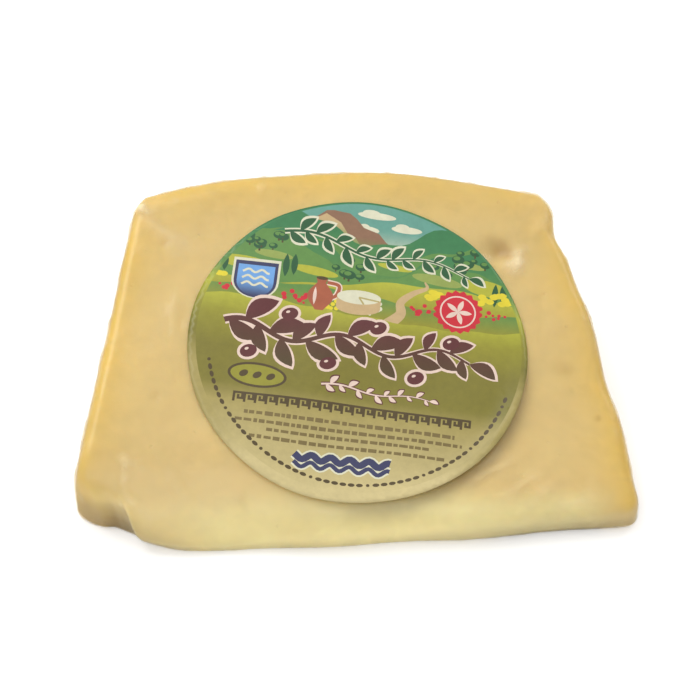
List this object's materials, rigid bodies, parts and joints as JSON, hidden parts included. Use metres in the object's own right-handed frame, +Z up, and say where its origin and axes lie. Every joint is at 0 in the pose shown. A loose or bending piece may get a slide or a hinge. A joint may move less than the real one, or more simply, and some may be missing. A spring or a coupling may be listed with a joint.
{
  "type": "vacuum-packed cheese wedge",
  "caption": "Trimmed wedge of pale yellow kefalotyri cheese, skin-tight in clear vacuum film, lying on one cut face, with a round landscape sticker on the other.",
  "frame": {"origin": "middle of the bounding box, on the ground that the piece lies on", "axes": "+X across the wheel's height, to the right of the picture, +Y from the trimmed tip towards the rind of the rim, +Z up"},
  "size_m": [0.138, 0.1024, 0.0389],
  "materials": {
    "cheese": "pale yellow hard cheese under glossy film",
    "film": "clear, glossy, finely creased",
    "label_paper": "semi-gloss print"
  },
  "bodies": {
    "root": {"wedge": "cheese", "label": "label_paper"}
  },
  "joints": []
}
